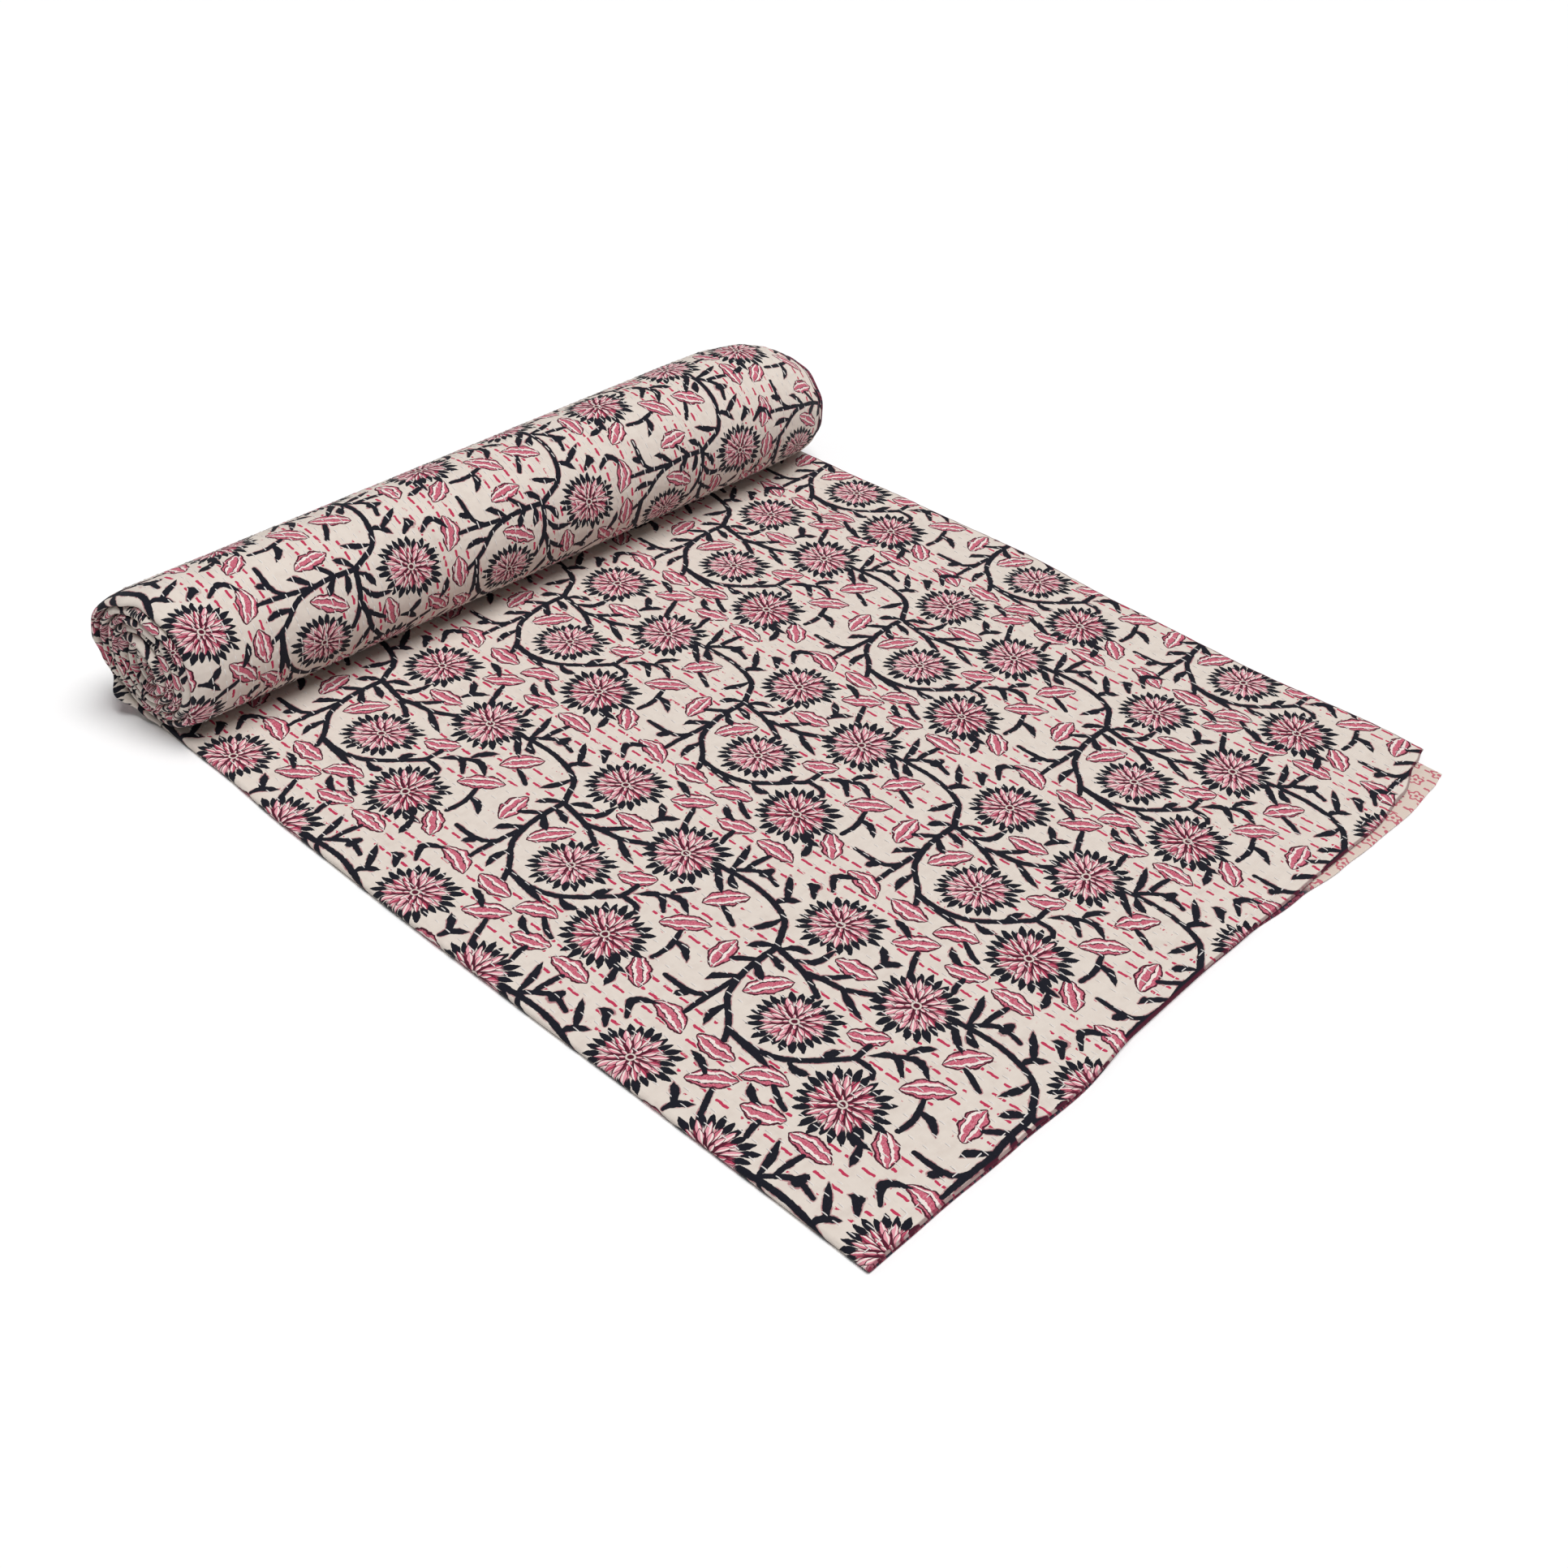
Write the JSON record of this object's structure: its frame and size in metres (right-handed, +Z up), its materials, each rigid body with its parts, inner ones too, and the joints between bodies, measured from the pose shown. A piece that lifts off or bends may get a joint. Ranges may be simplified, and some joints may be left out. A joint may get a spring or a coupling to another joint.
{
  "type": "kantha quilt",
  "caption": "Cotton kantha quilt folded in half along its length and rolled up from one end, with its free end lying flat in front of the roll.",
  "frame": {"origin": "middle of the box's underside, on the surface that the quilt rests on", "axes": "+X from the roll towards the free hem, along the longest side; +Y from the folded edge towards the open edges; +Z up, the shortest side"},
  "size_m": [0.848, 0.784, 0.138],
  "materials": {
    "printed_cotton": "matte"
  },
  "bodies": {
    "root": {"quilt": "printed_cotton"}
  },
  "joints": []
}
